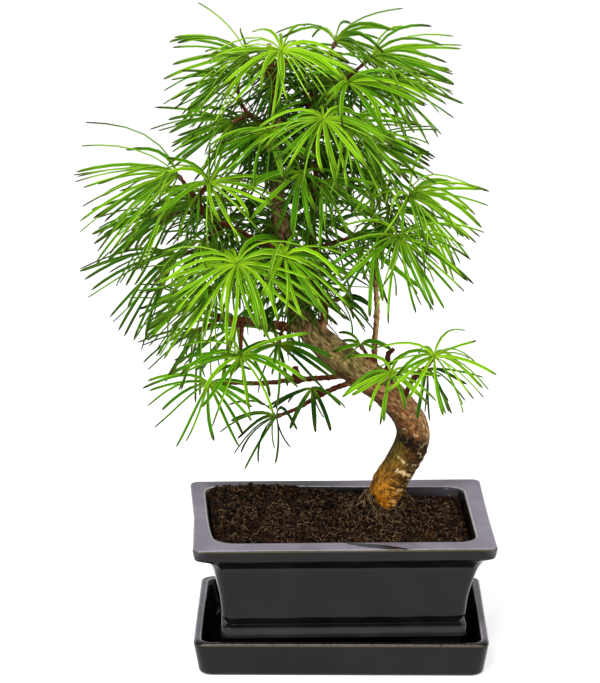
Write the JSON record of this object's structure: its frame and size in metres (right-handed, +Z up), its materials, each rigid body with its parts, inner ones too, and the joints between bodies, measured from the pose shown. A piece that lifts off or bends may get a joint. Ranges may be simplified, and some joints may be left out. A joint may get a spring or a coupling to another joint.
{
  "type": "golden larch bonsai",
  "caption": "Golden larch bonsai with a leaning, forked trunk and whorls of soft needles, planted in a rectangular glazed pot that stands on its saucer.",
  "frame": {"origin": "middle of the saucer's flat base, on the surface that the saucer stands on", "axes": "+X to the right of the tree's front, along the pot's long side; +Y away from the tree's front; +Z up"},
  "size_m": [0.2145, 0.1536, 0.3378],
  "materials": {
    "glaze": "near-black glossy glaze",
    "soil": "dark brown fibrous peat, damp and matte",
    "bark": "ochre to olive-brown bark, wrinkled and matte",
    "needles": "soft yellow-green needles with a satin surface",
    "netting": "dark plastic netting, matte"
  },
  "bodies": {
    "root": {"drain_mesh_left": "netting", "drain_mesh_right": "netting", "pot": "glaze", "saucer": "glaze", "soil": "soil", "tree_wood": "bark", "tuft_belly_back": "needles", "tuft_belly_front": "needles", "tuft_belly_left": "needles", "tuft_belly_left_back": "needles", "tuft_belly_middle": "needles", "tuft_bend_front": "needles", "tuft_fork_small": "needles", "tuft_heart_back": "needles", "tuft_heart_front": "needles", "tuft_heart_left": "needles", "tuft_heart_right": "needles", "tuft_heart_right_back": "needles", "tuft_heart_right_low": "needles", "tuft_left_back": "needles", "tuft_left_front": "needles", "tuft_left_low_tip": "needles", "tuft_left_middle": "needles", "tuft_left_middle_end": "needles", "tuft_left_middle_under": "needles", "tuft_left_shoulder": "needles", "tuft_left_shoulder_low": "needles", "tuft_left_tip": "needles", "tuft_left_under": "needles", "tuft_left_upper_back": "needles", "tuft_low_knobbly": "needles", "tuft_low_left_back": "needles", "tuft_low_left_front": "needles", "tuft_low_left_inner": "needles", "tuft_low_middle_back": "needles", "tuft_low_middle_front": "needles", "tuft_low_middle_under": "needles", "tuft_middle_front": "needles", "tuft_middle_low_right": "needles", "tuft_middle_right": "needles", "tuft_right_back": "needles", "tuft_right_inner": "needles", "tuft_right_low_front": "needles", "tuft_right_low_under": "needles", "tuft_right_lower_front": "needles", "tuft_right_star": "needles", "tuft_right_tip": "needles", "tuft_shoulder_left_back": "needles", "tuft_shoulder_right": "needles", "tuft_shoulder_right_back": "needles", "tuft_shoulder_right_front": "needles", "tuft_stem_small": "needles", "tuft_top_back": "needles", "tuft_top_front": "needles", "tuft_top_left": "needles", "tuft_top_right": "needles", "tuft_top_right_tip": "needles"}
  },
  "joints": []
}
